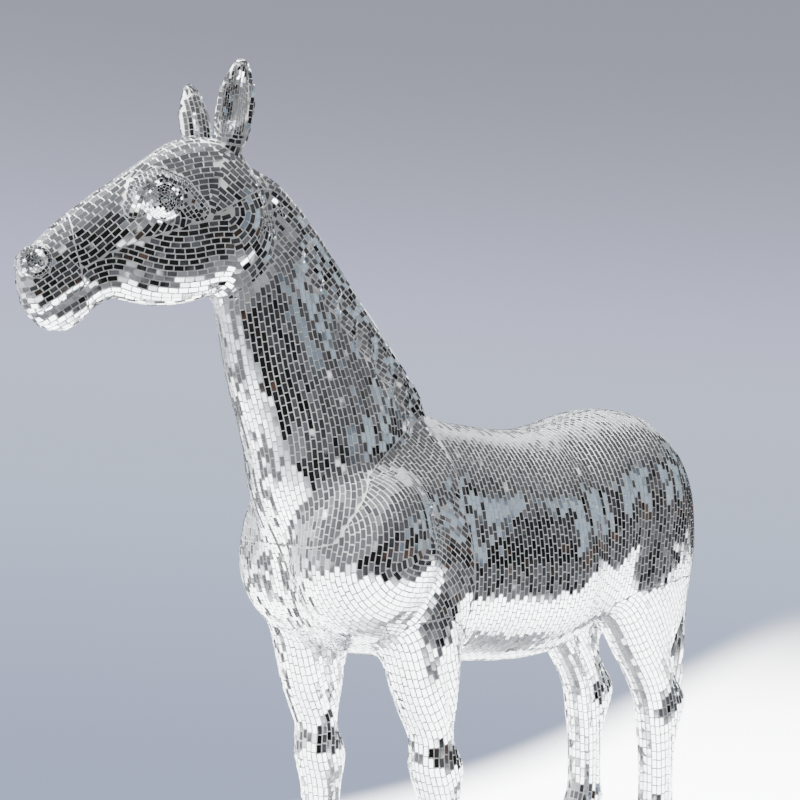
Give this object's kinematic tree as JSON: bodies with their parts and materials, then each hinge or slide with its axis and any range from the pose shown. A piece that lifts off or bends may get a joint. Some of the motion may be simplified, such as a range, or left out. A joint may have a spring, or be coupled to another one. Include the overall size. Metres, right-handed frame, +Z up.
{
  "type": "fiberglass horse statue with a mirror mosaic skin",
  "caption": "Standing horse statue covered in small mirror tiles set in white grout, head turned slightly, on a low base plate.",
  "frame": {"origin": "centre of the base plate's underside", "axes": "+Z up, -X the way the horse's body faces, -Y towards its left side"},
  "size_m": [1.9568, 0.6271, 2.0055],
  "materials": {
    "mirror_mosaic": "hand-cut silvered glass tiles set in white grout",
    "base_lacquer": "satin white lacquer"
  },
  "bodies": {
    "root": {"horse": "mirror_mosaic", "base_plate": "base_lacquer"}
  },
  "joints": []
}
